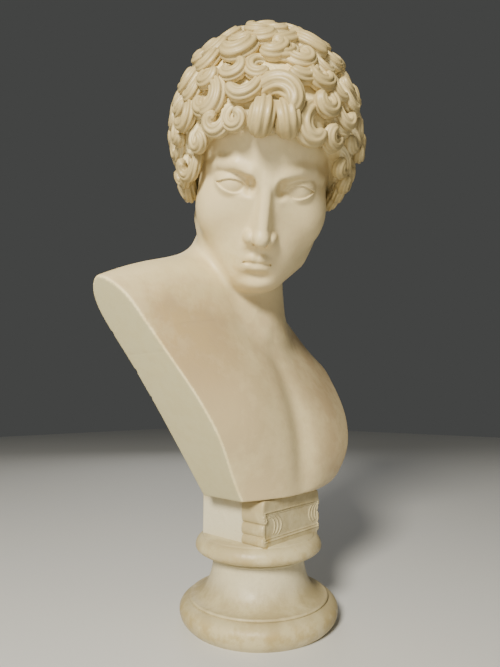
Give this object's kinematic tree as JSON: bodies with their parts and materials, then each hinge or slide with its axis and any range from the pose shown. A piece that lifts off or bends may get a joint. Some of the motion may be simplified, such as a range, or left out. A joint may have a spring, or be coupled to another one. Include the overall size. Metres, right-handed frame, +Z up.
{
  "type": "greek god bust",
  "caption": "Marble bust of a youthful god with curly hair, chest cut by sloping sides, on a turned socle with a scrolled tablet.",
  "frame": {"origin": "centre of the socle's round underside, on the surface that it stands on", "axes": "+Z up; -Y the way the chest and the tablet face; the head turns and looks down towards -X"},
  "size_m": [0.3536, 0.2509, 0.615],
  "materials": {
    "bust": "smooth aged marble with a warm cream patina",
    "socle": "smooth aged marble with grey and yellow-brown stains"
  },
  "bodies": {
    "root": {"bust": "bust", "socle": "socle"}
  },
  "joints": []
}
